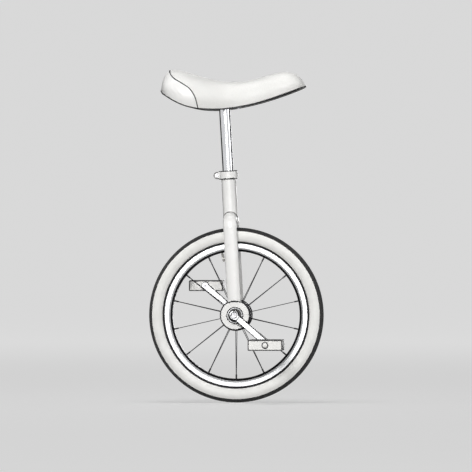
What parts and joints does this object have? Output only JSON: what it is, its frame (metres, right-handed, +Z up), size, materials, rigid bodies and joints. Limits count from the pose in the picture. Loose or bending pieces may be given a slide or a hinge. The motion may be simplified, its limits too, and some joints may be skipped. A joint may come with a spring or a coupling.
{
  "type": "unicycle",
  "caption": "Unicycle with a 20-inch spoked wheel on cranks fixed to its axle, a forked frame, a clamped sliding seatpost and a curved padded saddle.",
  "frame": {"origin": "the tyre's contact point with the ground, straight under the axle's middle", "axes": "+X forward, in the riding direction; +Y to the rider's left, along the axle; +Z up"},
  "size_m": [0.5058, 0.377, 0.9628],
  "materials": {
    "frame_paint": "white gloss powder coat",
    "clamp_paint": "white gloss powder coat",
    "fasteners": "zinc plated",
    "bearing_steel": "ground and polished",
    "cage_plastic": "moulded nylon",
    "seal_rubber": "moulded",
    "axle_steel": "turned",
    "tyre_rubber": "white moulded rubber with a black tread",
    "tube_rubber": "moulded",
    "valve_brass": "nickel-plated",
    "rim_alloy": "polished",
    "spoke_steel": "black coated",
    "nipple_brass": "black plated",
    "hub_alloy": "black anodised",
    "crank_alloy": "polished",
    "pedal_plastic": "moulded white with a black grip frame",
    "pedal_trim": "moulded black",
    "post_steel": "polished",
    "saddle_vinyl": "white grained vinyl",
    "bumper_plastic": "moulded white",
    "base_plastic": "moulded black",
    "foam": "polyurethane foam"
  },
  "bodies": {
    "frame": {"seat_tube": "frame_paint", "fork_leg_left": "frame_paint", "fork_leg_right": "frame_paint", "bearing_housing_left": "frame_paint", "bearing_housing_right": "frame_paint", "bearing_cap_left": "clamp_paint", "bearing_cap_right": "clamp_paint", "bearing_cap_bolts": "fasteners", "bearing_cap_washers": "fasteners", "bearing_outer_ring_left": "bearing_steel", "bearing_outer_ring_right": "bearing_steel", "bearing_seals": "seal_rubber", "seat_clamp_collar": "clamp_paint", "seat_clamp_bolt": "fasteners", "seat_clamp_nut": "fasteners"},
    "wheel": {"tyre": "tyre_rubber", "inner_tube": "tube_rubber", "valve_stem": "valve_brass", "valve_core": "valve_brass", "rim": "rim_alloy", "rim_tape": "tube_rubber", "spokes_left": "spoke_steel", "spokes_right": "spoke_steel", "spoke_nipples": "nipple_brass", "hub_shell": "hub_alloy", "axle": "axle_steel", "axle_spacers": "axle_steel", "bearing_inner_ring_left": "bearing_steel", "bearing_inner_ring_right": "bearing_steel", "crank_left": "crank_alloy", "crank_right": "crank_alloy", "crank_bolts": "fasteners", "pedal_spindle_left": "axle_steel", "pedal_spindle_right": "axle_steel", "pedal_locknut_left": "fasteners", "pedal_locknut_right": "fasteners"},
    "bearing_set_left": {"bearing_balls_left": "bearing_steel", "bearing_cage_left": "cage_plastic"},
    "bearing_set_right": {"bearing_balls_right": "bearing_steel", "bearing_cage_right": "cage_plastic"},
    "pedal_left": {"pedal_body_left": "pedal_plastic", "pedal_inner_bush_left": "pedal_trim", "pedal_outer_bush_left": "pedal_trim", "pedal_dust_cap_left": "pedal_trim"},
    "pedal_right": {"pedal_body_right": "pedal_plastic", "pedal_inner_bush_right": "pedal_trim", "pedal_outer_bush_right": "pedal_trim", "pedal_dust_cap_right": "pedal_trim"},
    "post": {"seatpost": "post_steel"},
    "saddle": {"saddle_bracket": "post_steel", "saddle_base": "base_plastic", "saddle_cushion": "foam", "saddle_cover": "saddle_vinyl", "rear_bumper": "bumper_plastic", "saddle_studs": "fasteners", "saddle_nuts": "fasteners", "saddle_washers": "fasteners"}
  },
  "joints": [
    {"name": "wheel_spin", "type": "hinge", "parent": "frame", "child": "wheel", "pos_m": [0, 0, 0.253], "axis": [0, 1, 0], "continuous": true},
    {"name": "bearing_left_roll", "type": "hinge", "parent": "frame", "child": "bearing_set_left", "pos_m": [0, 0.05, 0.253], "axis": [0, 1, 0], "continuous": true},
    {"name": "bearing_right_roll", "type": "hinge", "parent": "frame", "child": "bearing_set_right", "pos_m": [0, -0.05, 0.253], "axis": [0, 1, 0], "continuous": true},
    {"name": "pedal_left_spin", "type": "hinge", "parent": "wheel", "child": "pedal_left", "pos_m": [-0.09585, 0.14, 0.33632], "axis": [0, 1, 0], "continuous": true},
    {"name": "pedal_right_spin", "type": "hinge", "parent": "wheel", "child": "pedal_right", "pos_m": [0.09585, -0.14, 0.16968], "axis": [0, 1, 0], "continuous": true},
    {"name": "seatpost_height", "type": "slide", "parent": "frame", "child": "post", "axis": [-0.0576, 0, 0.9983], "range_m": [-0.072, 0.008]},
    {"name": "saddle_swivel", "type": "hinge", "parent": "post", "child": "saddle", "pos_m": [-0.03339, 0, 0.83204], "axis": [-0.0576, 0, 0.9983], "continuous": true}
  ],
  "couplings": [
    {"joint": "bearing_left_roll", "follows": "wheel_spin", "ratio": 0.3815},
    {"joint": "bearing_right_roll", "follows": "wheel_spin", "ratio": 0.3815}
  ]
}
